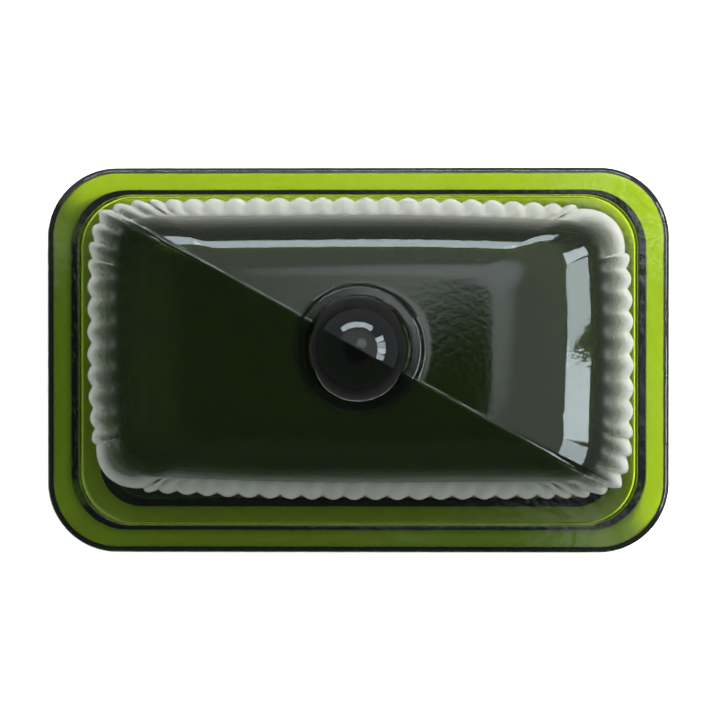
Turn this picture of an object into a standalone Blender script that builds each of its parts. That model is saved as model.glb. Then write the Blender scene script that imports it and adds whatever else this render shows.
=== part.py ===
"""A covered dish in green pressed glass: a flanged rectangular tray and a ribbed lid with a ball knob.

Metres, +Z up. The origin is on the table under the middle of the tray, and +X runs along the dish.
Both pieces are lofts. A section is a list of levels, each at an inset from the outline and a height,
and every level is a ring of points on the outline drawn in by that inset.
"""

import math

import bmesh
import bpy
import numpy as np

# The lid stands on the tray with this gap, so that the two solids never touch.
CLEARANCE = 0.0003

# Tray in plan.
TRAY_LENGTH = 0.1864
TRAY_WIDTH = 0.1154
TRAY_CORNER = 0.021
TRAY_CORNER_FALL = 0.62
TRAY_CORNER_STEPS = 12

# Tray in section: heights above the table, insets from the outline. The wall under the flange and the one
# above it stand a little further in at the ends.
TRAY_HEIGHT = 0.0150
FLOOR_HEIGHT = 0.0090
FLOOR_UNDERSIDE = 0.0032
FOOT_TOP_INSET = 0.0130
FOOT_INSET = 0.0156
FOOT_WIDTH = 0.0034
FOOT_ROUND = 0.0003
LEDGE_UNDERSIDE = 0.0039
FLANGE_UNDERSIDE = 0.0078
UNDER_STEP = (0.0063, 0.0080)
EDGE_RADIUS = 0.0017
LOWER_EDGE_RADIUS = 0.0033
LIP_INSET = 0.0080
LIP_RADIUS = 0.0004
LIP_FALL = 0.0003
STEP_FILLET = 0.0004
STEP_FOOT_INSET = 0.0089
END_STEP_EXTRA = 0.0014

# Lid in plan, over the crests of its ribs, and where it stands in the tray's loose recess. END_STRETCH
# draws the section out at the short ends, so that the four sides meet along the diagonals.
LID_LENGTH = 0.1622
LID_WIDTH = 0.0898
END_STRETCH = LID_LENGTH / LID_WIDTH
LID_REST = np.array([0.0009, 0.0034, FLOOR_HEIGHT + CLEARANCE])
ROUND_CORNER = 0.0130
SEAM_CORNER = 0.0165
SEAM_CORNER_TURN = math.radians(26.0)
LONG_SIDE_BOW = 0.0022
SHORT_SIDE_BOW = 0.0020
BOW_LEAN = 0.6

# Lid in section: heights above its own lower edge.
WALL_DRAFT = math.radians(3.0)
WALL_HEIGHT = 0.0247
SHOULDER_RADIUS = 0.0235
WALL_THICKNESS = 0.0044
LOWER_EDGE_ROUND = 0.0007
SEAM_ANGLE = math.radians(29.0)
FOLD_SLOPE = 0.032
FOLD_REACH = 0.040
FOLD_RAMP = 0.014

# Ribs: convex reeds up the wall, fading out over the shoulder.
RIBS_LONG_SIDE = 21
RIBS_SHORT_SIDE = 9
RIBS_TO_SEAM = 2.5
COLUMNS_PER_RIB = 4
COLUMNS_PER_CORNER = 20
RIB_DEPTH = 0.0015
RIB_DEPTH_SHOULDER = 0.0013
RIB_END = math.radians(50.0)
RIB_FADE = 0.4

# Knob: a ball on a short neck over a low round plinth. Heights are above the lid's lower edge.
BALL_RADIUS = 0.0146
BALL_HEIGHT = 0.0660
NECK_START = math.radians(-48.0)
PLINTH_RADIUS = 0.0176
PLINTH_HEIGHT = 0.0512
PLINTH_ROUND = 0.0012
KNOB_ROOT = 0.0450
KNOB_STEPS = 32

GLASS_COLOUR = (0.055, 0.105, 0.012, 1.0)
GLASS_ROUGHNESS = 0.05
GLASS_IOR = 1.5


def clear_scene():
    for obj in list(bpy.data.objects):
        bpy.data.objects.remove(obj)


def new_collection(name):
    collection = bpy.data.collections.new(name)
    bpy.context.scene.collection.children.link(collection)
    return collection


def green_glass(name):
    material = bpy.data.materials.new(name)
    material.use_nodes = True
    shader = material.node_tree.nodes["Principled BSDF"]
    shader.inputs["Base Color"].default_value = GLASS_COLOUR
    shader.inputs["Roughness"].default_value = GLASS_ROUGHNESS
    shader.inputs["IOR"].default_value = GLASS_IOR
    shader.inputs["Transmission Weight"].default_value = 0.6
    return material


def arc(inset, height, radius, start, end, steps):
    """Section points on an arc. Angles are in degrees: 0 points inwards, 90 up and 180 outwards."""
    angles = np.radians(np.linspace(start, end, steps + 1))
    return list(zip(inset + radius * np.cos(angles), height + radius * np.sin(angles)))


def rounded(corners, radius, steps=2):
    """Section points along straight lines through the corners, with each inner corner rounded off."""
    corners = [np.array(corner) for corner in corners]
    points = [tuple(corners[0])]
    for before, here, after in zip(corners, corners[1:], corners[2:]):
        start = here + (before - here) / np.linalg.norm(before - here) * radius
        end = here + (after - here) / np.linalg.norm(after - here) * radius
        for share in np.linspace(0, 1, steps + 1):
            points.append(tuple((1 - share) ** 2 * start + 2 * share * (1 - share) * here + share**2 * end))
    points.append(tuple(corners[-1]))
    return points


def bridge(bm, lower, upper):
    """Faces between two rings. The upper ring may have fewer points, where they divide the lower's."""
    share = len(lower) // len(upper)
    for i, vertex in enumerate(upper):
        near = [lower[(i * share + k) % len(lower)] for k in range(share + 1)]
        bm.faces.new([*near, upper[(i + 1) % len(upper)], vertex])


def loft(name, rings, collection):
    """A closed body through rings of points, with a flat cap on the first and the last."""
    bm = bmesh.new()
    loops = [[bm.verts.new(point) for point in ring] for ring in rings]
    for lower, upper in zip(loops, loops[1:]):
        bridge(bm, lower, upper)
    bm.faces.new(loops[0])
    bm.faces.new(loops[-1])
    bmesh.ops.recalc_face_normals(bm, faces=bm.faces)
    mesh = bpy.data.meshes.new(name)
    bm.to_mesh(mesh)
    bm.free()
    mesh.shade_smooth()
    mesh.set_sharp_from_angle(angle=math.radians(40.0))
    obj = bpy.data.objects.new(name, mesh)
    collection.objects.link(obj)
    return obj


def make_cutter(obj):
    obj.hide_render = True
    obj.display_type = "WIRE"


def boolean(obj, other, operation):
    modifier = obj.modifiers.new(other.name, "BOOLEAN")
    modifier.object = other
    modifier.operation = operation


# Tray


def tray_section():
    """From the recess under the floor, round the foot and over the rim, to the edge of the floor."""
    foot_inner = FOOT_INSET + FOOT_WIDTH
    lower_centre = (LOWER_EDGE_RADIUS + 0.0004, FLANGE_UNDERSIDE + LOWER_EDGE_RADIUS)
    lower_edge = arc(*lower_centre, LOWER_EDGE_RADIUS, 285.0, 190.0, 5)
    corners = [
        (foot_inner + 0.0040, FLOOR_UNDERSIDE),
        (foot_inner + 0.0020, FLOOR_UNDERSIDE),
        (foot_inner, 0.0),
        (FOOT_INSET, 0.0),
        (FOOT_TOP_INSET, LEDGE_UNDERSIDE),
        (UNDER_STEP[1], LEDGE_UNDERSIDE),
        (UNDER_STEP[0], FLANGE_UNDERSIDE),
        lower_edge[0],
    ]
    section = rounded(corners, FOOT_ROUND)[:-1] + lower_edge
    section += arc(EDGE_RADIUS, TRAY_HEIGHT - EDGE_RADIUS, EDGE_RADIUS, 180.0, 88.0, 5)
    section += arc(LIP_INSET, TRAY_HEIGHT - LIP_FALL - LIP_RADIUS, LIP_RADIUS, 85.0, 15.0, 2)
    section += arc(STEP_FOOT_INSET, FLOOR_HEIGHT + STEP_FILLET, STEP_FILLET, 195.0, 270.0, 2)
    return section


def tray_ring(inset, height):
    corner = TRAY_CORNER - TRAY_CORNER_FALL * inset
    further_in = (inset - UNDER_STEP[0]) / (UNDER_STEP[1] - UNDER_STEP[0])
    centre_x = TRAY_LENGTH / 2 - inset - corner - END_STEP_EXTRA * min(1.0, max(0.0, further_in))
    centre_y = TRAY_WIDTH / 2 - inset - corner
    ring = []
    for quarter, (side_x, side_y) in enumerate(((1, 1), (-1, 1), (-1, -1), (1, -1))):
        for step in range(TRAY_CORNER_STEPS + 1):
            angle = math.radians(90.0 * (quarter + step / TRAY_CORNER_STEPS))
            x = side_x * centre_x + corner * math.cos(angle)
            y = side_y * centre_y + corner * math.sin(angle)
            ring.append((x, y, height))
    return ring


def build_tray(collection):
    tray = loft("tray", [tray_ring(*level) for level in tray_section()], collection)
    tray.data.materials.append(green_glass("tray_glass"))
    return tray


# Lid


def lid_segments():
    """The lid's outline from the right side anticlockwise, as four sides and four corners in turn. Each
    gives the shares along it of its columns and the height of the rib wave at each."""
    segments = []
    for quarter in range(4):
        ribs = RIBS_SHORT_SIDE if quarter % 2 == 0 else RIBS_LONG_SIDE
        step = np.arange(ribs * COLUMNS_PER_RIB)
        segments.append((step / len(step), np.abs(np.sin(np.pi * step / COLUMNS_PER_RIB))))
        turn = np.arange(COLUMNS_PER_CORNER) / COLUMNS_PER_CORNER
        on_seam = quarter % 2 == 1
        ribs_round = 2 * RIBS_TO_SEAM if on_seam else 1
        segments.append((turn, np.abs(np.sin(np.pi * ribs_round * turn))))
    return segments


def corner_insets(turn, on_seam):
    """How far corner columns lie in from the first side and from the second, as shares of the corner.
    A corner on the seam is two flat arcs that meet at an angle, and the others are round."""
    if not on_seam:
        angle = turn * math.pi / 2
        return 1.0 - np.cos(angle), 1.0 - np.sin(angle)
    radius = 1.0 / (1.0 - math.cos(SEAM_CORNER_TURN) + math.sin(SEAM_CORNER_TURN))
    angle = SEAM_CORNER_TURN * (1.0 - np.abs(2.0 * turn - 1.0))
    near, far = radius * (1.0 - np.cos(angle)), 1.0 - radius * np.sin(angle)
    return np.where(turn <= 0.5, near, far), np.where(turn <= 0.5, far, near)


def kept_parallel(share, from_edge, to_edge, from_now, to_now):
    """Places along a side whose ends have drawn in: columns stay put, and only those near its ends crowd."""
    place = from_edge + (to_edge - from_edge) * share
    towards_start = place * from_edge > 0
    edge = np.where(towards_start, from_edge, to_edge)
    now = np.where(towards_start, from_now, to_now)
    shrink = 1.0 - now / edge
    power = np.clip(0.8 / np.maximum(shrink, 0.01) - 1.0, 0.0, 6.0)
    return place * (1.0 - shrink * np.abs(place / edge) ** power)


def bowed(x, y):
    """Bows the sides outwards, and draws in the two corners off the mould seam more than those on it."""
    lean = 1.0 + BOW_LEAN * np.sign(x * y)
    across = (2.0 * x / LID_LENGTH) ** 2 * lean * LONG_SIDE_BOW / (LID_WIDTH / 2)
    along = (2.0 * y / LID_WIDTH) ** 2 * lean * SHORT_SIDE_BOW / (LID_LENGTH / 2)
    return x * (1.0 - along), y * (1.0 - across)


def fold_drop(x, y, inset):
    """The roof falls away a little on each side of the mould seam, which runs corner to corner."""
    distance = np.abs(x * math.sin(SEAM_ANGLE) + y * math.cos(SEAM_ANGLE))
    drop = FOLD_SLOPE * FOLD_REACH * (1.0 - np.exp(-distance / FOLD_REACH))
    return drop * np.clip(inset / FOLD_RAMP, 0.0, 1.0)


def lid_ring(inset, height, tilt, depth, segments, wall=0.0):
    """A ring of the lid. tilt is the long sides' lean from level, depth is the ribs' at this height, and
    wall is how far the ring lies under the outer surface."""
    end_tilt = math.atan(math.tan(tilt) / END_STRETCH)
    shrink = 1.0 - inset / (LID_WIDTH / 2)
    xs, ys, waves = [], [], []
    corners = ((1, -1), (1, 1), (-1, 1), (-1, -1), (1, -1))
    radii = [SEAM_CORNER, ROUND_CORNER, SEAM_CORNER, ROUND_CORNER, SEAM_CORNER]
    for quarter in range(4):
        (side_x, side_y), (next_x, next_y) = corners[quarter], corners[quarter + 1]
        radius, next_radius = radii[quarter], radii[quarter + 1]
        share, wave = segments[2 * quarter]
        half_x = LID_LENGTH / 2 - inset * END_STRETCH - (wall + depth * (1.0 - wave)) * math.sin(end_tilt)
        half_y = LID_WIDTH / 2 - inset - (wall + depth * (1.0 - wave)) * math.sin(tilt)
        if quarter % 2 == 0:
            edges = side_y * (LID_WIDTH / 2 - radius), next_y * (LID_WIDTH / 2 - next_radius)
            now = side_y * (half_y - radius * shrink), next_y * (half_y - next_radius * shrink)
            xs.append(side_x * half_x)
            ys.append(kept_parallel(share, *edges, *now))
        else:
            edges = side_x * (LID_LENGTH / 2 - radius), next_x * (LID_LENGTH / 2 - next_radius)
            now = side_x * (half_x - radius * shrink), next_x * (half_x - next_radius * shrink)
            xs.append(kept_parallel(share, *edges, *now))
            ys.append(side_y * half_y)
        waves.append(wave)
        share, wave = segments[2 * quarter + 1]
        half_x = LID_LENGTH / 2 - inset * END_STRETCH - (wall + depth * (1.0 - wave)) * math.sin(end_tilt)
        half_y = LID_WIDTH / 2 - inset - (wall + depth * (1.0 - wave)) * math.sin(tilt)
        first, second = corner_insets(share, quarter % 2 == 1)
        from_x, from_y = (first, second) if quarter % 2 == 0 else (second, first)
        xs.append(next_x * (half_x - next_radius * shrink * from_x))
        ys.append(next_y * (half_y - next_radius * shrink * from_y))
        waves.append(wave)
    x, y = bowed(np.concatenate(xs), np.concatenate(ys))
    z = height - depth * (1.0 - np.concatenate(waves)) * math.cos(tilt) - fold_drop(x, y, inset)
    return np.stack([x, y, z], axis=1)


def shoulder_centre():
    start = math.pi / 2 - WALL_DRAFT
    inset = WALL_HEIGHT * math.tan(WALL_DRAFT) + SHOULDER_RADIUS * math.sin(start)
    return inset, WALL_HEIGHT - SHOULDER_RADIUS * math.cos(start)


def shoulder_ring(tilt, depth, segments, wall=0.0):
    """A ring where the shoulder leans by tilt. The shoulder leaves the drafted wall and ends level."""
    inset, height = shoulder_centre()
    place = inset - SHOULDER_RADIUS * math.sin(tilt)
    return lid_ring(place, height + (SHOULDER_RADIUS - wall) * math.cos(tilt), tilt, depth, segments, wall)


def rib_depth_on_shoulder(tilt):
    share = (tilt - RIB_END) / (math.pi / 2 - WALL_DRAFT - RIB_END)
    return RIB_DEPTH_SHOULDER * max(0.0, share) ** RIB_FADE


def every_rib(ring):
    return ring[::COLUMNS_PER_RIB]


def lid_outer_rings(segments):
    """From the lower edge, up the ribbed wall and over the shoulder to the middle of the roof."""
    upright = math.pi / 2 - WALL_DRAFT
    rings = [lid_ring(0.0, 0.0, upright, RIB_DEPTH, segments, LOWER_EDGE_ROUND)]
    for height in (LOWER_EDGE_ROUND, WALL_HEIGHT / 2, WALL_HEIGHT):
        depth = RIB_DEPTH + (RIB_DEPTH_SHOULDER - RIB_DEPTH) * height / WALL_HEIGHT
        rings.append(lid_ring(height * math.tan(WALL_DRAFT), height, upright, depth, segments))
    for tilt in np.radians((77.0, 68.0, 60.0, 54.0, 50.0)):
        rings.append(shoulder_ring(tilt, rib_depth_on_shoulder(tilt), segments))
    for tilt in np.radians((39.0, 28.0, 18.0, 8.0, 0.0)):
        rings.append(every_rib(shoulder_ring(tilt, 0.0, segments)))
    roof = shoulder_centre()[1] + SHOULDER_RADIUS
    return rings + [every_rib(lid_ring(inset, roof, 0.0, 0.0, segments)) for inset in (0.031, 0.037, 0.042)]


def lid_cavity_rings(segments):
    """From below the lower edge, up the inner wall to the inner roof."""
    smooth = [(share, np.ones(len(share))) for share, _ in segments]
    upright = math.pi / 2 - WALL_DRAFT
    below = -2 * CLEARANCE - LOWER_EDGE_ROUND
    rings = [every_rib(lid_ring(below * math.tan(WALL_DRAFT), below, upright, 0.0, smooth, WALL_THICKNESS))]
    for tilt in np.radians((87.0, 70.0, 53.0, 36.0, 18.0, 0.0)):
        rings.append(every_rib(shoulder_ring(tilt, 0.0, smooth, WALL_THICKNESS)))
    return rings


def knob_profile():
    """(radius, height) down the outer side of the knob, from its top to its root in the lid's roof."""
    points = []
    for step in range(13):
        angle = math.pi / 2 + (NECK_START - math.pi / 2) * step / 12
        points.append((BALL_RADIUS * math.cos(angle), BALL_HEIGHT + BALL_RADIUS * math.sin(angle)))
    neck_radius, neck_height = points[-1]
    hollow = neck_height - PLINTH_HEIGHT
    for share in (0.33, 0.66, 1.0):
        turn = share * math.pi / 2
        points.append((neck_radius + hollow * (1 - math.cos(turn)), neck_height - hollow * math.sin(turn)))
    for share in (0.0, 0.5, 1.0):
        turn = share * math.pi / 2
        radius = PLINTH_RADIUS - PLINTH_ROUND * (1 - math.sin(turn))
        points.append((radius, PLINTH_HEIGHT - PLINTH_ROUND * (1 - math.cos(turn))))
    points.append((PLINTH_RADIUS + PLINTH_ROUND, KNOB_ROOT))
    points.append((0.0, KNOB_ROOT))
    return points


def build_knob(collection):
    """The knob's turned body, which becomes one piece with the lid."""
    bm = bmesh.new()
    vertices = [bm.verts.new((radius, 0.0, height)) for radius, height in knob_profile()]
    for upper, lower in zip(vertices, vertices[1:]):
        bm.edges.new((upper, lower))
    mesh = bpy.data.meshes.new("knob_body")
    bm.to_mesh(mesh)
    bm.free()
    knob = bpy.data.objects.new("knob_body", mesh)
    collection.objects.link(knob)
    knob.location = LID_REST
    screw = knob.modifiers.new("turn", "SCREW")
    screw.steps = KNOB_STEPS
    screw.render_steps = KNOB_STEPS
    screw.use_merge_vertices = True
    screw.merge_threshold = 0.00001
    make_cutter(knob)
    return knob


def build_lid(collection, cutters):
    segments = lid_segments()
    lid = loft("lid", [ring + LID_REST for ring in lid_outer_rings(segments)], collection)
    lid.data.materials.append(green_glass("lid_glass"))
    cavity = loft("lid_cavity", [ring + LID_REST for ring in lid_cavity_rings(segments)], cutters)
    make_cutter(cavity)
    boolean(lid, cavity, "DIFFERENCE")
    boolean(lid, build_knob(cutters), "UNION")
    return lid


def main():
    clear_scene()
    parts = new_collection("covered_dish")
    cutters = new_collection("cutters")
    build_tray(parts)
    build_lid(parts, cutters)


main()
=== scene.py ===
"""The looks of the covered dish: a tray and a ribbed lid in green pressed glass, on a pale table.

Metres, +Z up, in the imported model's frame. Each piece is one closed mesh made of rings of points, and takes
the place of the CAD node of the same shape.
"""

import math

import bmesh
import bpy
import numpy as np
from mathutils import Matrix, Vector


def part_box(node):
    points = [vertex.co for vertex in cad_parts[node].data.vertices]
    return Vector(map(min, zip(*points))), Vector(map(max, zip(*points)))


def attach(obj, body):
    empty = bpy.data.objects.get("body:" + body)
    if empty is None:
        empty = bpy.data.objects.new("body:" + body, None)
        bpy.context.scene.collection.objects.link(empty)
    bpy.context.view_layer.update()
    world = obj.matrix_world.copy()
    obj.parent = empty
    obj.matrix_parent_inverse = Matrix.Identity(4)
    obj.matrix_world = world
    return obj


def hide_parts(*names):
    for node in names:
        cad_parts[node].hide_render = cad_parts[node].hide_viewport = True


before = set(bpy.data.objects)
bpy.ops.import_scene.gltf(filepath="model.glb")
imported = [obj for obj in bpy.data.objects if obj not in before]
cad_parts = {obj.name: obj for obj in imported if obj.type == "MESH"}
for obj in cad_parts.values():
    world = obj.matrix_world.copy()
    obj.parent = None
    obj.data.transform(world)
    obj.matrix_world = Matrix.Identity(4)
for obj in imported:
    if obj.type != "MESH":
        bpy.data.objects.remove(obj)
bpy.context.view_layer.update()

TRAY_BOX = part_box("tray")

# Tray: plan from its CAD box, and its section in heights above the table and insets from the outline.
TRAY_LENGTH, TRAY_WIDTH, TRAY_HEIGHT = (TRAY_BOX[1] - TRAY_BOX[0])
TRAY_CORNER = 0.021
TRAY_CORNER_FALL = 0.62
TRAY_CORNER_STEPS = 40
TRAY_SIDE_STEPS = 60
FLOOR_HEIGHT = 0.0090
FLOOR_UNDERSIDE = 0.0032
FOOT_TOP_INSET = 0.0130
FOOT_INSET = 0.0156
FOOT_WIDTH = 0.0034
FOOT_ROUND = 0.0003
RECESS_INSETS = (0.0120, 0.0020)
LEDGE_UNDERSIDE = 0.0039
FLANGE_UNDERSIDE = 0.0078
UNDER_STEP = (0.0063, 0.0080)
EDGE_RADIUS = 0.0017
LOWER_EDGE_RADIUS = 0.0033
LOWER_EDGE_INSET = 0.0004
LIP_INSET = 0.0080
LIP_RADIUS = 0.0004
LIP_FALL = 0.0003
STEP_FILLET = 0.0004
STEP_FOOT_INSET = 0.0089
FLOOR_MARGIN = 0.012
END_STEP_EXTRA = 0.0014

# Lid: plan over the crests of its ribs, and its section in heights above its own lower edge. The section
# holds across the long sides, and is drawn out by END_STRETCH at the short ends, so that the sides meet
# along the diagonals.
CLEARANCE = 0.0003
LID_LENGTH = 0.1622
LID_WIDTH = 0.0898
END_STRETCH = LID_LENGTH / LID_WIDTH
LID_REST = np.array([0.0009, 0.0034, FLOOR_HEIGHT + CLEARANCE])
ROUND_CORNER = 0.0130
SEAM_CORNER = 0.0165
SEAM_CORNER_TURN = math.radians(26.0)
LONG_SIDE_BOW = 0.0022
SHORT_SIDE_BOW = 0.0020
BOW_LEAN = 0.6
WALL_DRAFT = math.radians(3.0)
WALL_HEIGHT = 0.0247
SHOULDER_RADIUS = 0.0235
WALL_THICKNESS = 0.0044
INNER_ROOF_INSETS = (0.041, 0.033)
LOWER_EDGE_ROUND = 0.0007
SEAM_ANGLE = math.radians(29.0)
FOLD_SLOPE = 0.032
FOLD_REACH = 0.040
FOLD_RAMP = 0.014
SEAM_HALF_WIDTH = 0.0006
SEAM_HEIGHT = 0.00020

RIBS_LONG_SIDE = 21
RIBS_SHORT_SIDE = 9
RIBS_TO_SEAM = 2.5
COLUMNS_PER_RIB = 8
COLUMNS_PER_CORNER = 40
RIB_DEPTH = 0.0015
RIB_DEPTH_SHOULDER = 0.0013
RIB_END = math.radians(50.0)
RIB_FADE = 0.4

BALL_RADIUS = 0.0146
BALL_HEIGHT = 0.0660
BALL_TIP = 0.004
NECK_START = math.radians(-48.0)
PLINTH_RADIUS = 0.0176
PLINTH_HEIGHT = 0.0512
PLINTH_ROUND = 0.0012
PLINTH_FILLET = 0.0012

# Green glass: light taken off per metre in red, green and blue is density times one less the colour.
GLASS_IOR = 1.51
TRAY_DENSITY = 1000.0
LID_DENSITY = 1100.0
GLASS_TINT = (0.706, 0.757, 0.115, 1.0)

# Surfaces. The lid is satin where it is low and steep, and the satin fades out over these heights and tilts.
TRAY_ROUGHNESS = 0.02
GLOSS_ROUGHNESS = 0.03
TRAY_COLOUR = (0.9, 0.95, 0.9, 1.0)
TRAY_CLEARNESS = 0.996
TRAY_BUMP = (0.0035, 0.00006)
LID_BUMP = (0.0018, 0.000012)
SATIN_ROUGHNESS = 0.5
SATIN_CLEARNESS = 0.885
SATIN_COLOUR = (0.86, 0.88, 0.83, 1.0)
SATIN_TOP = 0.0550
SATIN_FULL = 0.0475
SATIN_TILT = math.radians(28.0)
SATIN_FULL_TILT = math.radians(60.0)

# Turning marks on the ball, which fade in over these heights. A wave texture repeats every WAVE_PERIOD at a
# scale of 1.
MARK_SPACING = 0.0021
MARK_DISTORTION = 1.5
MARK_SHARE = 0.6
MARK_START = 0.0610
MARK_FULL = 0.0640
WAVE_PERIOD = math.pi / 10

# Windows: azimuths, elevations and sizes are in degrees, seen from ROOF_LEVEL over the table's origin.
WINDOW_DISTANCE = 1.5
WINDOW_COLOUR = (0.80, 0.93, 1.0)
RIGHT_PANES = (-20.0, -5.5, 9.0, 23.5)
RIGHT_PANE_ELEVATION = 40.0
RIGHT_PANE_SIZE = (10.0, 17.0)
RIGHT_PANE_RADIANCES = (8.0, 11.0)
TOP_PANES = (67.0, 92.0, 117.0)
TOP_PANE_ELEVATION = 39.0
TOP_PANE_SIZE = (20.0, 10.0)
TOP_PANE_RADIANCE = 9.0
KEY_PLACE = (47.0, 40.0)
KEY_SIZE = (16.0, 16.0)
KEY_RADIANCE = 168.0
KEY_COLOUR = (1.0, 0.95, 0.88)
ROOF_LEVEL = 0.055

# Table and room. A step's two numbers are where it starts and where it is full.
TABLE_SIZE = 4.0
TABLE_COLOUR = 0.9
TABLE_ROUGHNESS = 0.9
# Painted shade: where the glass mirrors the table, its colour falls to this dark colour outside a pool round
# the dish.
TABLE_PAINTED_POOL = (0.118, 0.069, 1.0)
TABLE_PAINTED_POOL_EDGE = 1.2
TABLE_PAINTED_SHADE_COLOUR = 0.04
TABLE_GAP = 0.0001
CEILING_EDGE = 0.010
CEILING_SOFTNESS = 0.03
CEILING_COLOUR = (1.00, 1.05, 1.02, 1.0)
ROOM_COLOUR = (0.08, 0.08, 0.09, 1.0)
DIM_WALL_COLOUR = (0.14, 0.18, 0.14, 1.0)
DARK_CEILING_EDGE = (0.80, 0.92)
WALL_COLOUR = (0.50, 0.52, 0.54, 1.0)
CEILING_LOWEST = 0.67
CEILING_FULL = 0.81
BRIGHT_PATCH = Vector((0.14, 0.20, 1.0)).normalized()
BRIGHT_PATCH_EDGE = (0.975, 0.997)
PATCH_COLOUR = (2.4, 2.6, 2.7, 1.0)
DARK_PATCH = Vector((0.062, 0.016, 1.0)).normalized()
DARK_PATCH_EDGE = (0.9982, 0.99995)
DARK_PATCH_COLOUR = (0.08, 0.12, 0.08, 1.0)
KEY_DIRECTION = (0.522, 0.560, 0.643)
KEY_GLOW_EDGE = 0.75
KEY_GLOW = (5.0, 5.0, 5.0, 1.0)
ALL_ROUND_LIGHT = (1.2, 1.5, 1.3, 1.0)
OVERHEAD_LOWEST = 0.94
OVERHEAD_FULL = 0.985
OVERHEAD_LIGHT = (6.0, 6.0, 6.0, 1.0)
AMBIENT_LIGHT = (0.98, 1.10, 0.99, 1.0)

CAMERA_PLACE = (0.0072, 0.0035, 0.5453)
CAMERA_AIM = (0.0006, 0.0, 0.0100)
CAMERA_LENS = 88.7


# Meshes made of rings


def piece_from_rings(name, rings, material, finish=None):
    """A closed mesh through rings of equally many points, with a flat cap on the first and the last."""
    count = len(rings[0])
    points = np.concatenate(rings)
    here = np.arange(count)
    after = (here + 1) % count
    quads = []
    for level in range(len(rings) - 1):
        lower, upper = count * level, count * (level + 1)
        quads.append(np.stack([here + lower, after + lower, after + upper, here + upper], axis=1))
    faces = np.concatenate(quads).tolist()
    faces.append(here[::-1].tolist())
    faces.append((here + count * (len(rings) - 1)).tolist())
    mesh = bpy.data.meshes.new(name)
    mesh.from_pydata(points.tolist(), [], faces)
    bm = bmesh.new()
    bm.from_mesh(mesh)
    bmesh.ops.remove_doubles(bm, verts=bm.verts, dist=1e-6)
    bmesh.ops.recalc_face_normals(bm, faces=bm.faces)
    if finish is not None:
        finish(bm)
    bm.to_mesh(mesh)
    bm.free()
    mesh.shade_smooth()
    mesh.materials.append(material)
    piece = bpy.data.objects.new(name, mesh)
    bpy.context.scene.collection.objects.link(piece)
    return piece


def arc(inset, height, radius, start, end, steps):
    """Section points on an arc. Angles are in degrees: 0 points inwards, 90 up and 180 outwards."""
    angles = np.radians(np.linspace(start, end, steps + 1))
    return list(zip(inset + radius * np.cos(angles), height + radius * np.sin(angles)))


def straight(start, end, steps):
    """Section points from start to end, leaving out both."""
    shares = np.linspace(0, 1, steps + 1)[1:-1]
    return [(start[0] + (end[0] - start[0]) * s, start[1] + (end[1] - start[1]) * s) for s in shares]


def rounded(corners, radius, steps=6):
    """Section points along straight lines through the corners, with each inner corner rounded off."""
    corners = [np.array(corner) for corner in corners]
    points = [tuple(corners[0])]
    for before, here, after in zip(corners, corners[1:], corners[2:]):
        to_before = (before - here) / np.linalg.norm(before - here)
        to_after = (after - here) / np.linalg.norm(after - here)
        start, end = here + to_before * radius, here + to_after * radius
        for share in np.linspace(0, 1, steps + 1):
            points.append(tuple((1 - share) ** 2 * start + 2 * share * (1 - share) * here + share**2 * end))
    points.append(tuple(corners[-1]))
    return points


# Tray


def tray_section():
    """From the recess under the floor, round the foot and over the rim, to the edge of the floor."""
    foot_inner = FOOT_INSET + FOOT_WIDTH
    lower_centre = (LOWER_EDGE_RADIUS + LOWER_EDGE_INSET, FLANGE_UNDERSIDE + LOWER_EDGE_RADIUS)
    lower_edge = arc(*lower_centre, LOWER_EDGE_RADIUS, 285.0, 190.0, 14)
    corners = [
        (foot_inner + RECESS_INSETS[0], FLOOR_UNDERSIDE),
        (foot_inner + RECESS_INSETS[1], FLOOR_UNDERSIDE),
        (foot_inner, 0.0),
        (FOOT_INSET, 0.0),
        (FOOT_TOP_INSET, LEDGE_UNDERSIDE),
        (UNDER_STEP[1], LEDGE_UNDERSIDE),
        (UNDER_STEP[0], FLANGE_UNDERSIDE),
        lower_edge[0],
    ]
    upper_edge = arc(EDGE_RADIUS, TRAY_HEIGHT - EDGE_RADIUS, EDGE_RADIUS, 180.0, 88.0, 16)
    lip = arc(LIP_INSET, TRAY_HEIGHT - LIP_FALL - LIP_RADIUS, LIP_RADIUS, 85.0, 15.0, 8)
    step = arc(STEP_FOOT_INSET, FLOOR_HEIGHT + STEP_FILLET, STEP_FILLET, 195.0, 270.0, 10)
    section = rounded(corners, FOOT_ROUND)[:-1] + lower_edge + upper_edge
    section += [*straight(upper_edge[-1], lip[0], 24), *lip, *straight(lip[-1], step[0], 4), *step]
    section.append((STEP_FOOT_INSET + FLOOR_MARGIN, FLOOR_HEIGHT))
    return section


def tray_ring(inset, height):
    corner = TRAY_CORNER - TRAY_CORNER_FALL * inset
    end_extra = END_STEP_EXTRA * np.clip((inset - UNDER_STEP[0]) / (UNDER_STEP[1] - UNDER_STEP[0]), 0.0, 1.0)
    centre_x = TRAY_LENGTH / 2 - inset - corner - end_extra
    centre_y = TRAY_WIDTH / 2 - inset - corner
    turn = np.radians(np.linspace(0, 90, TRAY_CORNER_STEPS + 1))
    run = np.linspace(1, -1, TRAY_SIDE_STEPS + 1)[1:-1]
    xs, ys = [], []
    for quarter, (side_x, side_y) in enumerate(((1, 1), (-1, 1), (-1, -1), (1, -1))):
        angle = turn + math.pi / 2 * quarter
        xs.append(side_x * centre_x + corner * np.cos(angle))
        ys.append(side_y * centre_y + corner * np.sin(angle))
        if quarter % 2 == 0:
            xs.append(side_x * centre_x * run)
            ys.append(np.full(len(run), side_y * (centre_y + corner)))
        else:
            xs.append(np.full(len(run), side_x * (centre_x + corner)))
            ys.append(side_y * centre_y * run)
    x, y = np.concatenate(xs), np.concatenate(ys)
    return np.stack([x, y, np.full(len(x), height)], axis=1)


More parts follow.
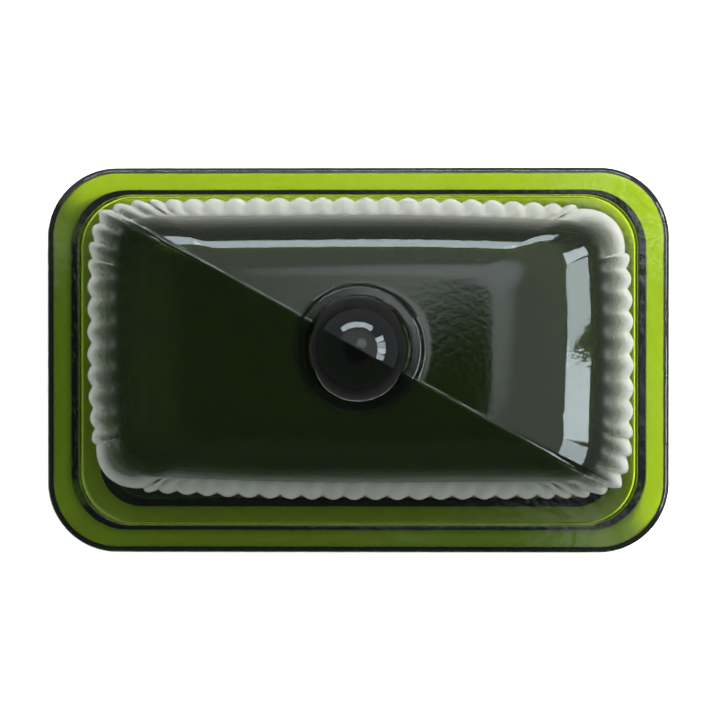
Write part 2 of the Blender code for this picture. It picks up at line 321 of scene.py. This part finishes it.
def build_tray(material):
    rings = [tray_ring(*level) for level in tray_section()]
    tray = piece_from_rings("tray_glass_body", rings, material)
    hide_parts("tray")
    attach(tray, "tray")
    return tray


# Lid


def lid_segments():
    """The lid's outline from the right side anticlockwise, as four sides and four corners in turn. Each
    gives the shares along it of its columns and the height of the rib wave at each."""
    segments = []
    for quarter in range(4):
        ribs = RIBS_SHORT_SIDE if quarter % 2 == 0 else RIBS_LONG_SIDE
        step = np.arange(ribs * COLUMNS_PER_RIB)
        segments.append((step / len(step), np.abs(np.sin(np.pi * step / COLUMNS_PER_RIB))))
        turn = np.arange(COLUMNS_PER_CORNER) / COLUMNS_PER_CORNER
        on_seam = quarter % 2 == 1
        ribs_round = 2 * RIBS_TO_SEAM if on_seam else 1
        segments.append((turn, np.abs(np.sin(np.pi * ribs_round * turn))))
    return segments


def corner_insets(turn, on_seam):
    """How far corner columns lie in from the first side and from the second, as shares of the corner.
    A corner on the seam is two flat arcs that meet at an angle, and the others are round."""
    if not on_seam:
        angle = turn * math.pi / 2
        return 1.0 - np.cos(angle), 1.0 - np.sin(angle)
    radius = 1.0 / (1.0 - math.cos(SEAM_CORNER_TURN) + math.sin(SEAM_CORNER_TURN))
    angle = SEAM_CORNER_TURN * (1.0 - np.abs(2.0 * turn - 1.0))
    near, far = radius * (1.0 - np.cos(angle)), 1.0 - radius * np.sin(angle)
    return np.where(turn <= 0.5, near, far), np.where(turn <= 0.5, far, near)


def kept_parallel(share, from_edge, to_edge, from_now, to_now):
    """Places along a side whose ends have drawn in: columns stay put, and only those near its ends crowd."""
    place = from_edge + (to_edge - from_edge) * share
    towards_start = place * from_edge > 0
    edge = np.where(towards_start, from_edge, to_edge)
    now = np.where(towards_start, from_now, to_now)
    shrink = 1.0 - now / edge
    power = np.clip(0.8 / np.maximum(shrink, 0.01) - 1.0, 0.0, 6.0)
    return place * (1.0 - shrink * np.abs(place / edge) ** power)


def bowed(x, y):
    """Bows the sides outwards, and draws in the two corners off the mould seam more than those on it."""
    lean = 1.0 + BOW_LEAN * np.sign(x * y)
    across = (2.0 * x / LID_LENGTH) ** 2 * lean * LONG_SIDE_BOW / (LID_WIDTH / 2)
    along = (2.0 * y / LID_WIDTH) ** 2 * lean * SHORT_SIDE_BOW / (LID_LENGTH / 2)
    return x * (1.0 - along), y * (1.0 - across)


def fold_drop(x, y, inset):
    """The roof falls away a little on each side of the mould seam, which runs corner to corner."""
    distance = np.abs(x * math.sin(SEAM_ANGLE) + y * math.cos(SEAM_ANGLE))
    drop = FOLD_SLOPE * FOLD_REACH * (1.0 - np.exp(-distance / FOLD_REACH))
    return drop * np.clip(inset / FOLD_RAMP, 0.0, 1.0)


def lid_ring(inset, height, tilt, depth, segments, wall=0.0):
    """A ring of the lid. tilt is the long sides' lean from level, depth is the ribs' at this height, and
    wall is how far the ring lies under the outer surface."""
    end_tilt = math.atan(math.tan(tilt) / END_STRETCH)
    shrink = 1.0 - inset / (LID_WIDTH / 2)
    xs, ys, waves = [], [], []
    corners = ((1, -1), (1, 1), (-1, 1), (-1, -1), (1, -1))
    radii = [SEAM_CORNER, ROUND_CORNER, SEAM_CORNER, ROUND_CORNER, SEAM_CORNER]
    for quarter in range(4):
        (side_x, side_y), (next_x, next_y) = corners[quarter], corners[quarter + 1]
        radius, next_radius = radii[quarter], radii[quarter + 1]
        share, wave = segments[2 * quarter]
        half_x = LID_LENGTH / 2 - inset * END_STRETCH - (wall + depth * (1.0 - wave)) * math.sin(end_tilt)
        half_y = LID_WIDTH / 2 - inset - (wall + depth * (1.0 - wave)) * math.sin(tilt)
        if quarter % 2 == 0:
            edges = side_y * (LID_WIDTH / 2 - radius), next_y * (LID_WIDTH / 2 - next_radius)
            now = side_y * (half_y - radius * shrink), next_y * (half_y - next_radius * shrink)
            xs.append(side_x * half_x)
            ys.append(kept_parallel(share, *edges, *now))
        else:
            edges = side_x * (LID_LENGTH / 2 - radius), next_x * (LID_LENGTH / 2 - next_radius)
            now = side_x * (half_x - radius * shrink), next_x * (half_x - next_radius * shrink)
            xs.append(kept_parallel(share, *edges, *now))
            ys.append(side_y * half_y)
        waves.append(wave)
        share, wave = segments[2 * quarter + 1]
        half_x = LID_LENGTH / 2 - inset * END_STRETCH - (wall + depth * (1.0 - wave)) * math.sin(end_tilt)
        half_y = LID_WIDTH / 2 - inset - (wall + depth * (1.0 - wave)) * math.sin(tilt)
        first, second = corner_insets(share, quarter % 2 == 1)
        from_x, from_y = (first, second) if quarter % 2 == 0 else (second, first)
        xs.append(next_x * (half_x - next_radius * shrink * from_x))
        ys.append(next_y * (half_y - next_radius * shrink * from_y))
        waves.append(wave)
    x, y = bowed(np.concatenate(xs), np.concatenate(ys))
    z = height - depth * (1.0 - np.concatenate(waves)) * math.cos(tilt) - fold_drop(x, y, inset)
    return np.stack([x, y, z], axis=1)


def shoulder_centre():
    start = math.pi / 2 - WALL_DRAFT
    inset = WALL_HEIGHT * math.tan(WALL_DRAFT) + SHOULDER_RADIUS * math.sin(start)
    return inset, WALL_HEIGHT - SHOULDER_RADIUS * math.cos(start)


def shoulder_ring(tilt, depth, segments, wall=0.0):
    """A ring where the shoulder leans by tilt. The shoulder leaves the drafted wall and ends level."""
    inset, height = shoulder_centre()
    place = inset - SHOULDER_RADIUS * math.sin(tilt)
    return lid_ring(place, height + (SHOULDER_RADIUS - wall) * math.cos(tilt), tilt, depth, segments, wall)


def rib_depth_on_shoulder(tilt):
    share = (tilt - RIB_END) / (math.pi / 2 - WALL_DRAFT - RIB_END)
    return RIB_DEPTH_SHOULDER * max(0.0, share) ** RIB_FADE


def lid_cavity_rings(segments):
    """From the middle of the inner roof, down the inner wall to the lower edge."""
    smooth = [(share, np.ones(len(share))) for share, _ in segments]
    upright = math.pi / 2 - WALL_DRAFT
    _, centre_height = shoulder_centre()
    inner_roof = centre_height + SHOULDER_RADIUS - WALL_THICKNESS
    rings = [lid_ring(inset, inner_roof, 0.0, 0.0, smooth) for inset in INNER_ROOF_INSETS]
    for tilt in np.linspace(0.0, upright, 13):
        rings.append(shoulder_ring(tilt, 0.0, smooth, WALL_THICKNESS))
    top = WALL_HEIGHT - WALL_THICKNESS * math.cos(upright)
    for level in np.linspace(top, LOWER_EDGE_ROUND, 5)[1:]:
        rings.append(lid_ring(level * math.tan(WALL_DRAFT), level, upright, 0.0, smooth, WALL_THICKNESS))
    for turn in np.radians(np.linspace(0.0, 90.0, 5)[1:]):
        wall = WALL_THICKNESS - LOWER_EDGE_ROUND * (1.0 - math.cos(turn))
        level = LOWER_EDGE_ROUND * (1.0 - math.sin(turn))
        rings.append(lid_ring(0.0, level, upright, 0.0, smooth, wall))
    return rings


def lid_outer_rings(segments):
    """From the lower edge, up the ribbed wall and over the shoulder to the level roof."""
    upright = math.pi / 2 - WALL_DRAFT
    rings = []
    for turn in np.radians(np.linspace(90.0, 0.0, 5)[:-1]):
        wall = LOWER_EDGE_ROUND * (1.0 - math.cos(turn))
        level = LOWER_EDGE_ROUND * (1.0 - math.sin(turn))
        rings.append(lid_ring(0.0, level, upright, RIB_DEPTH, segments, wall))
    for height in np.linspace(LOWER_EDGE_ROUND, WALL_HEIGHT, 8):
        depth = RIB_DEPTH + (RIB_DEPTH_SHOULDER - RIB_DEPTH) * height / WALL_HEIGHT
        rings.append(lid_ring(height * math.tan(WALL_DRAFT), height, upright, depth, segments))
    for tilt in np.linspace(upright, 0.0, 38)[1:]:
        rings.append(shoulder_ring(tilt, rib_depth_on_shoulder(tilt), segments))
    return rings


def plinth_rings(roof_ring):
    """From the shoulder's last ring over the level roof to a circle, and up the fillet round the plinth."""
    x, y, z = roof_ring.T
    inset, height = shoulder_centre()
    angle = np.arctan2(y, x)
    foot = PLINTH_RADIUS + PLINTH_FILLET
    rings = []
    for share in np.linspace(0.0, 1.0, 10)[1:]:
        ring_x = x + (foot * np.cos(angle) - x) * share
        ring_y = y + (foot * np.sin(angle) - y) * share
        level = height + SHOULDER_RADIUS - fold_drop(ring_x, ring_y, inset)
        rings.append(np.stack([ring_x, ring_y, level], axis=1))
    level = rings[-1][:, 2]
    for turn in np.radians(np.linspace(0.0, 90.0, 8)[1:]):
        radius = foot - PLINTH_FILLET * math.sin(turn)
        rise = PLINTH_FILLET * (1.0 - math.cos(turn))
        rings.append(np.stack([radius * np.cos(angle), radius * np.sin(angle), level + rise], axis=1))
    return rings, angle


def knob_profile():
    """(radius, height) from the plinth's upper edge, over it and up the neck, to the top of the ball."""
    points = []
    for turn in np.radians(np.linspace(0.0, 90.0, 8)):
        radius = PLINTH_RADIUS - PLINTH_ROUND * (1 - math.cos(turn))
        points.append((radius, PLINTH_HEIGHT - PLINTH_ROUND * (1 - math.sin(turn))))
    neck_radius = BALL_RADIUS * math.cos(NECK_START)
    neck_height = BALL_HEIGHT + BALL_RADIUS * math.sin(NECK_START)
    hollow = neck_height - PLINTH_HEIGHT
    for turn in np.radians(np.linspace(90.0, 0.0, 12)[:-1]):
        points.append((neck_radius + hollow * (1 - math.cos(turn)), neck_height - hollow * math.sin(turn)))
    for angle in np.linspace(NECK_START, math.pi / 2, 36)[:-1]:
        points.append((BALL_RADIUS * math.cos(angle), BALL_HEIGHT + BALL_RADIUS * math.sin(angle)))
    points.append((BALL_RADIUS * BALL_TIP, BALL_HEIGHT + BALL_RADIUS))
    return points


def raise_mould_seam(bm):
    """A fine ridge along the seam plane, up to the knob's plinth. It is cut into the lid's outer faces."""
    across = Vector((math.sin(SEAM_ANGLE), math.cos(SEAM_ANGLE), 0.0))
    rest = Vector(LID_REST)
    for share in (-1.0, -0.5, 0.0, 0.5, 1.0):
        geometry = [*bm.verts, *bm.edges, *bm.faces]
        place = rest + across * (share * SEAM_HALF_WIDTH)
        bmesh.ops.bisect_plane(bm, geom=geometry, plane_co=place, plane_no=across, dist=1e-7)
    bm.normal_update()
    heart = rest + Vector((0.0, 0.0, WALL_HEIGHT))
    near = [v for v in bm.verts if abs((v.co - rest).dot(across)) < SEAM_HALF_WIDTH]
    near = [v for v in near if v.normal.dot(v.co - heart) > 0.0]
    near = [v for v in near if LOWER_EDGE_ROUND < v.co.z - rest.z < PLINTH_HEIGHT + SEAM_HEIGHT]
    moves = []
    for vertex in near:
        share = abs((vertex.co - rest).dot(across)) / SEAM_HALF_WIDTH
        moves.append((vertex, vertex.normal * (SEAM_HEIGHT * (1.0 - share) ** 0.7)))
    for vertex, move in moves:
        vertex.co += move


def build_lid(material):
    segments = lid_segments()
    rings = lid_cavity_rings(segments) + lid_outer_rings(segments)
    roof, angle = plinth_rings(rings[-1])
    rings += roof
    for radius, height in knob_profile():
        level = np.full(len(angle), height)
        rings.append(np.stack([radius * np.cos(angle), radius * np.sin(angle), level], axis=1))
    rings = [ring + LID_REST for ring in rings]
    lid = piece_from_rings("lid_glass_body", rings, material, raise_mould_seam)
    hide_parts("lid")
    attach(lid, "lid")
    return lid


# Materials


def green_glass(name, density, surface, bump_size, bump_height):
    """Clear glass that takes off light along its path. The bump is the slight waviness of pressed glass."""
    material = bpy.data.materials.new(name)
    material.use_nodes = True
    tree = material.node_tree
    shader = tree.nodes["Principled BSDF"]
    shader.inputs["Base Color"].default_value = surface
    shader.inputs["Roughness"].default_value = TRAY_ROUGHNESS
    shader.inputs["IOR"].default_value = GLASS_IOR
    shader.inputs["Transmission Weight"].default_value = 1.0
    absorption = tree.nodes.new("ShaderNodeVolumeAbsorption")
    absorption.inputs["Color"].default_value = GLASS_TINT
    absorption.inputs["Density"].default_value = density
    tree.links.new(absorption.outputs["Volume"], tree.nodes["Material Output"].inputs["Volume"])
    place = tree.nodes.new("ShaderNodeTexCoord")
    noise = tree.nodes.new("ShaderNodeTexNoise")
    noise.inputs["Scale"].default_value = 1.0 / bump_size
    noise.inputs["Detail"].default_value = 2.0
    bump = tree.nodes.new("ShaderNodeBump")
    bump.inputs["Distance"].default_value = bump_height
    tree.links.new(place.outputs["Object"], noise.inputs["Vector"])
    tree.links.new(noise.outputs["Fac"], bump.inputs["Height"])
    tree.links.new(bump.outputs["Normal"], shader.inputs["Normal"])
    return material


def upward_step(tree, vector, start, end):
    """A smooth step of a vector's upward component, from 0 at start to 1 at end."""
    axes = tree.nodes.new("ShaderNodeSeparateXYZ")
    step = tree.nodes.new("ShaderNodeMapRange")
    step.interpolation_type = "SMOOTHSTEP"
    step.inputs["From Min"].default_value = start
    step.inputs["From Max"].default_value = end
    tree.links.new(vector, axes.inputs["Vector"])
    tree.links.new(axes.outputs["Z"], step.inputs["Value"])
    return step.outputs["Result"]


def add_turning_marks(tree, place):
    """Faint rings round the ball's axis, as a mould cut on a lathe leaves. They join the bump's height."""
    centred = tree.nodes.new("ShaderNodeMapping")
    centred.inputs["Location"].default_value = -Vector(LID_REST)
    rings = tree.nodes.new("ShaderNodeTexWave")
    rings.wave_type = "RINGS"
    rings.rings_direction = "Z"
    rings.inputs["Scale"].default_value = WAVE_PERIOD / MARK_SPACING
    rings.inputs["Distortion"].default_value = MARK_DISTORTION
    on_ball = upward_step(tree, place.outputs["Object"], MARK_START, MARK_FULL)
    marks = tree.nodes.new("ShaderNodeMath")
    marks.operation = "MULTIPLY"
    height = tree.nodes.new("ShaderNodeMath")
    height.operation = "MULTIPLY_ADD"
    height.inputs[1].default_value = MARK_SHARE
    tree.links.new(place.outputs["Object"], centred.inputs["Vector"])
    tree.links.new(centred.outputs["Vector"], rings.inputs["Vector"])
    tree.links.new(rings.outputs["Fac"], marks.inputs[0])
    tree.links.new(on_ball, marks.inputs[1])
    tree.links.new(marks.outputs["Value"], height.inputs[0])
    tree.links.new(tree.nodes["Noise Texture"].outputs["Fac"], height.inputs[2])
    tree.links.new(height.outputs["Value"], tree.nodes["Bump"].inputs["Height"])


def lid_glass():
    """Glossy glass, and satin towards the foot of the ribbed wall."""
    material = green_glass("lid_green_glass", LID_DENSITY, SATIN_COLOUR, *LID_BUMP)
    tree = material.node_tree
    shader = tree.nodes["Principled BSDF"]
    place = tree.nodes.new("ShaderNodeTexCoord")
    facing = tree.nodes.new("ShaderNodeNewGeometry")
    steep = upward_step(tree, facing.outputs["Normal"], math.cos(SATIN_TILT), math.cos(SATIN_FULL_TILT))
    low = upward_step(tree, place.outputs["Object"], SATIN_TOP, SATIN_FULL)
    both = tree.nodes.new("ShaderNodeMath")
    both.operation = "MULTIPLY"
    tree.links.new(steep, both.inputs[0])
    tree.links.new(low, both.inputs[1])
    changes = (("Roughness", GLOSS_ROUGHNESS, SATIN_ROUGHNESS), ("Transmission Weight", 1.0, SATIN_CLEARNESS))
    for socket, gloss, satin in changes:
        change = tree.nodes.new("ShaderNodeMapRange")
        change.inputs["To Min"].default_value = gloss
        change.inputs["To Max"].default_value = satin
        tree.links.new(both.outputs["Value"], change.inputs["Value"])
        tree.links.new(change.outputs["Result"], shader.inputs[socket])
    add_turning_marks(tree, place)
    return material


def tray_glass():
    material = green_glass("tray_green_glass", TRAY_DENSITY, TRAY_COLOUR, *TRAY_BUMP)
    material.node_tree.nodes["Principled BSDF"].inputs["Transmission Weight"].default_value = TRAY_CLEARNESS
    return material


def matte(name, colour, roughness):
    material = bpy.data.materials.new(name)
    material.use_nodes = True
    shader = material.node_tree.nodes["Principled BSDF"]
    shader.inputs["Base Color"].default_value = colour
    shader.inputs["Roughness"].default_value = roughness
    return material


# Stage, light and camera


def build_table():
    """A pale table with painted shade in its reflections: for glossy rays only, its colour falls to dark
    outside a pool round the dish.
    """
    bpy.ops.mesh.primitive_plane_add(size=TABLE_SIZE, location=(0.0, 0.0, -TABLE_GAP))
    table = bpy.context.object
    table.name = "table"
    material = matte("pale_table", (TABLE_COLOUR, TABLE_COLOUR, TABLE_COLOUR, 1.0), TABLE_ROUGHNESS)
    tree = material.node_tree
    place = tree.nodes.new("ShaderNodeNewGeometry")
    spread = tree.nodes.new("ShaderNodeVectorMath")
    spread.operation = "DIVIDE"
    spread.inputs[1].default_value = TABLE_PAINTED_POOL
    sides = tree.nodes.new("ShaderNodeVectorMath")
    sides.operation = "ABSOLUTE"
    axes = tree.nodes.new("ShaderNodeSeparateXYZ")
    distance = tree.nodes.new("ShaderNodeMath")
    distance.operation = "MAXIMUM"
    painted_falloff = tree.nodes.new("ShaderNodeMapRange")
    painted_falloff.interpolation_type = "SMOOTHSTEP"
    painted_falloff.inputs["From Min"].default_value = 1.0
    painted_falloff.inputs["From Max"].default_value = TABLE_PAINTED_POOL_EDGE
    painted_falloff.inputs["To Min"].default_value = TABLE_COLOUR
    painted_falloff.inputs["To Max"].default_value = TABLE_PAINTED_SHADE_COLOUR
    # Painted shade: only glossy rays see the table darkened outside the pool, so the camera sees it evenly
    # pale.
    path = tree.nodes.new("ShaderNodeLightPath")
    painted_reflection = tree.nodes.new("ShaderNodeMix")
    painted_reflection.inputs["A"].default_value = TABLE_COLOUR
    tree.links.new(place.outputs["Position"], spread.inputs[0])
    tree.links.new(spread.outputs["Vector"], sides.inputs[0])
    tree.links.new(sides.outputs["Vector"], axes.inputs["Vector"])
    tree.links.new(axes.outputs["X"], distance.inputs[0])
    tree.links.new(axes.outputs["Y"], distance.inputs[1])
    tree.links.new(distance.outputs["Value"], painted_falloff.inputs["Value"])
    tree.links.new(path.outputs["Is Glossy Ray"], painted_reflection.inputs["Factor"])
    tree.links.new(painted_falloff.outputs["Result"], painted_reflection.inputs["B"])
    tree.links.new(painted_reflection.outputs["Result"], tree.nodes["Principled BSDF"].inputs["Base Color"])
    table.data.materials.append(material)


def window(name, azimuth, elevation, size, radiance, colour=WINDOW_COLOUR):
    """A bright panel that faces the dish. azimuth is from +X, and size is its width and height."""
    azimuth, elevation = math.radians(azimuth), math.radians(elevation)
    level = Vector((math.cos(azimuth), math.sin(azimuth), 0.0))
    back = level * math.cos(elevation) + Vector((0.0, 0.0, math.sin(elevation)))
    right = Vector((0.0, 0.0, 1.0)).cross(back).normalized()
    light = bpy.data.lights.new(name, "AREA")
    light.shape = "RECTANGLE"
    light.size = 2 * WINDOW_DISTANCE * math.tan(math.radians(size[0] / 2))
    light.size_y = 2 * WINDOW_DISTANCE * math.tan(math.radians(size[1] / 2))
    light.energy = radiance * math.pi * light.size * light.size_y
    light.color = colour
    lamp = bpy.data.objects.new(name, light)
    lamp.matrix_world = Matrix((right, back.cross(right), back)).transposed().to_4x4()
    lamp.location = back * WINDOW_DISTANCE + Vector((0.0, 0.0, ROOF_LEVEL))
    bpy.context.scene.collection.objects.link(lamp)
    return lamp


def build_lights():
    """Window panes on two sides of the room, and a key light that no glass mirrors."""
    for number, azimuth in enumerate(RIGHT_PANES):
        radiance = RIGHT_PANE_RADIANCES[number % 2]
        window(f"window_right_{number}", azimuth, RIGHT_PANE_ELEVATION, RIGHT_PANE_SIZE, radiance)
    for number, azimuth in enumerate(TOP_PANES):
        window(f"window_top_{number}", azimuth, TOP_PANE_ELEVATION, TOP_PANE_SIZE, TOP_PANE_RADIANCE)
    key = window("key_light", *KEY_PLACE, KEY_SIZE, KEY_RADIANCE, KEY_COLOUR)
    key.visible_glossy = False
    key.visible_transmission = False


def world_blend(tree, factor, low, high):
    """A node that goes from one colour or socket to another. Returns its colour output."""
    mix = tree.nodes.new("ShaderNodeMix")
    mix.data_type = "RGBA"
    tree.links.new(factor, mix.inputs[0])
    for socket, value in ((mix.inputs[6], low), (mix.inputs[7], high)):
        if isinstance(value, tuple):
            socket.default_value = value
        else:
            tree.links.new(value, socket)
    return mix.outputs[2]


def world_step(tree, direction, normal, start, end):
    """A smooth step of a direction's component along a normal, from 0 at start to 1 at end."""
    facing = tree.nodes.new("ShaderNodeVectorMath")
    facing.operation = "DOT_PRODUCT"
    facing.inputs[1].default_value = normal
    edge = tree.nodes.new("ShaderNodeMapRange")
    edge.interpolation_type = "SMOOTHSTEP"
    edge.inputs["From Min"].default_value = start
    edge.inputs["From Max"].default_value = end
    tree.links.new(direction, facing.inputs[0])
    tree.links.new(facing.outputs["Value"], edge.inputs["Value"])
    return edge.outputs["Result"]


def build_world():
    """A pale ceiling over the upper right half of the room, and a dim lower left half."""
    world = bpy.data.worlds.new("room")
    world.use_nodes = True
    bpy.context.scene.world = world
    tree = world.node_tree
    direction = tree.nodes.new("ShaderNodeTexCoord").outputs["Generated"]
    across = (math.sin(SEAM_ANGLE), math.cos(SEAM_ANGLE), -CEILING_EDGE)
    bright_half = world_step(tree, direction, across, -CEILING_SOFTNESS, CEILING_SOFTNESS)
    overhead = world_step(tree, direction, (0.0, 0.0, 1.0), CEILING_LOWEST, CEILING_FULL)
    ceiling = world_blend(tree, overhead, WALL_COLOUR, CEILING_COLOUR)
    patch = world_step(tree, direction, BRIGHT_PATCH, *BRIGHT_PATCH_EDGE)
    ceiling = world_blend(tree, patch, ceiling, PATCH_COLOUR)
    patch = world_step(tree, direction, DARK_PATCH, *DARK_PATCH_EDGE)
    ceiling = world_blend(tree, patch, ceiling, DARK_PATCH_COLOUR)
    high_up = world_step(tree, direction, (0.0, 0.0, 1.0), *DARK_CEILING_EDGE)
    dim_half = world_blend(tree, high_up, DIM_WALL_COLOUR, ROOM_COLOUR)
    seen = world_blend(tree, bright_half, dim_half, ceiling)
    lamp_cap = world_step(tree, direction, (0.0, 0.0, 1.0), OVERHEAD_LOWEST, OVERHEAD_FULL)
    lighting = world_blend(tree, lamp_cap, AMBIENT_LIGHT, OVERHEAD_LIGHT)
    towards_key = world_step(tree, direction, KEY_DIRECTION, KEY_GLOW_EDGE, 1.0)
    through_glass = world_blend(tree, towards_key, ALL_ROUND_LIGHT, KEY_GLOW)
    path = tree.nodes.new("ShaderNodeLightPath")
    colour = world_blend(tree, path.outputs["Is Diffuse Ray"], seen, lighting)
    colour = world_blend(tree, path.outputs["Is Transmission Ray"], colour, through_glass)
    tree.links.new(colour, tree.nodes["Background"].inputs["Color"])


def build_camera():
    data = bpy.data.cameras.new("camera")
    data.lens = CAMERA_LENS
    camera = bpy.data.objects.new("camera", data)
    camera.location = CAMERA_PLACE
    back = (Vector(CAMERA_PLACE) - Vector(CAMERA_AIM)).normalized()
    right = Vector((0.0, 1.0, 0.0)).cross(back).normalized()
    camera.rotation_euler = Matrix((right, back.cross(right), back)).transposed().to_euler()
    bpy.context.scene.collection.objects.link(camera)
    bpy.context.scene.camera = camera


def main():
    build_tray(tray_glass())
    build_lid(lid_glass())
    build_table()
    build_lights()
    build_world()
    build_camera()
    bpy.context.scene.view_settings.view_transform = "Standard"


main()
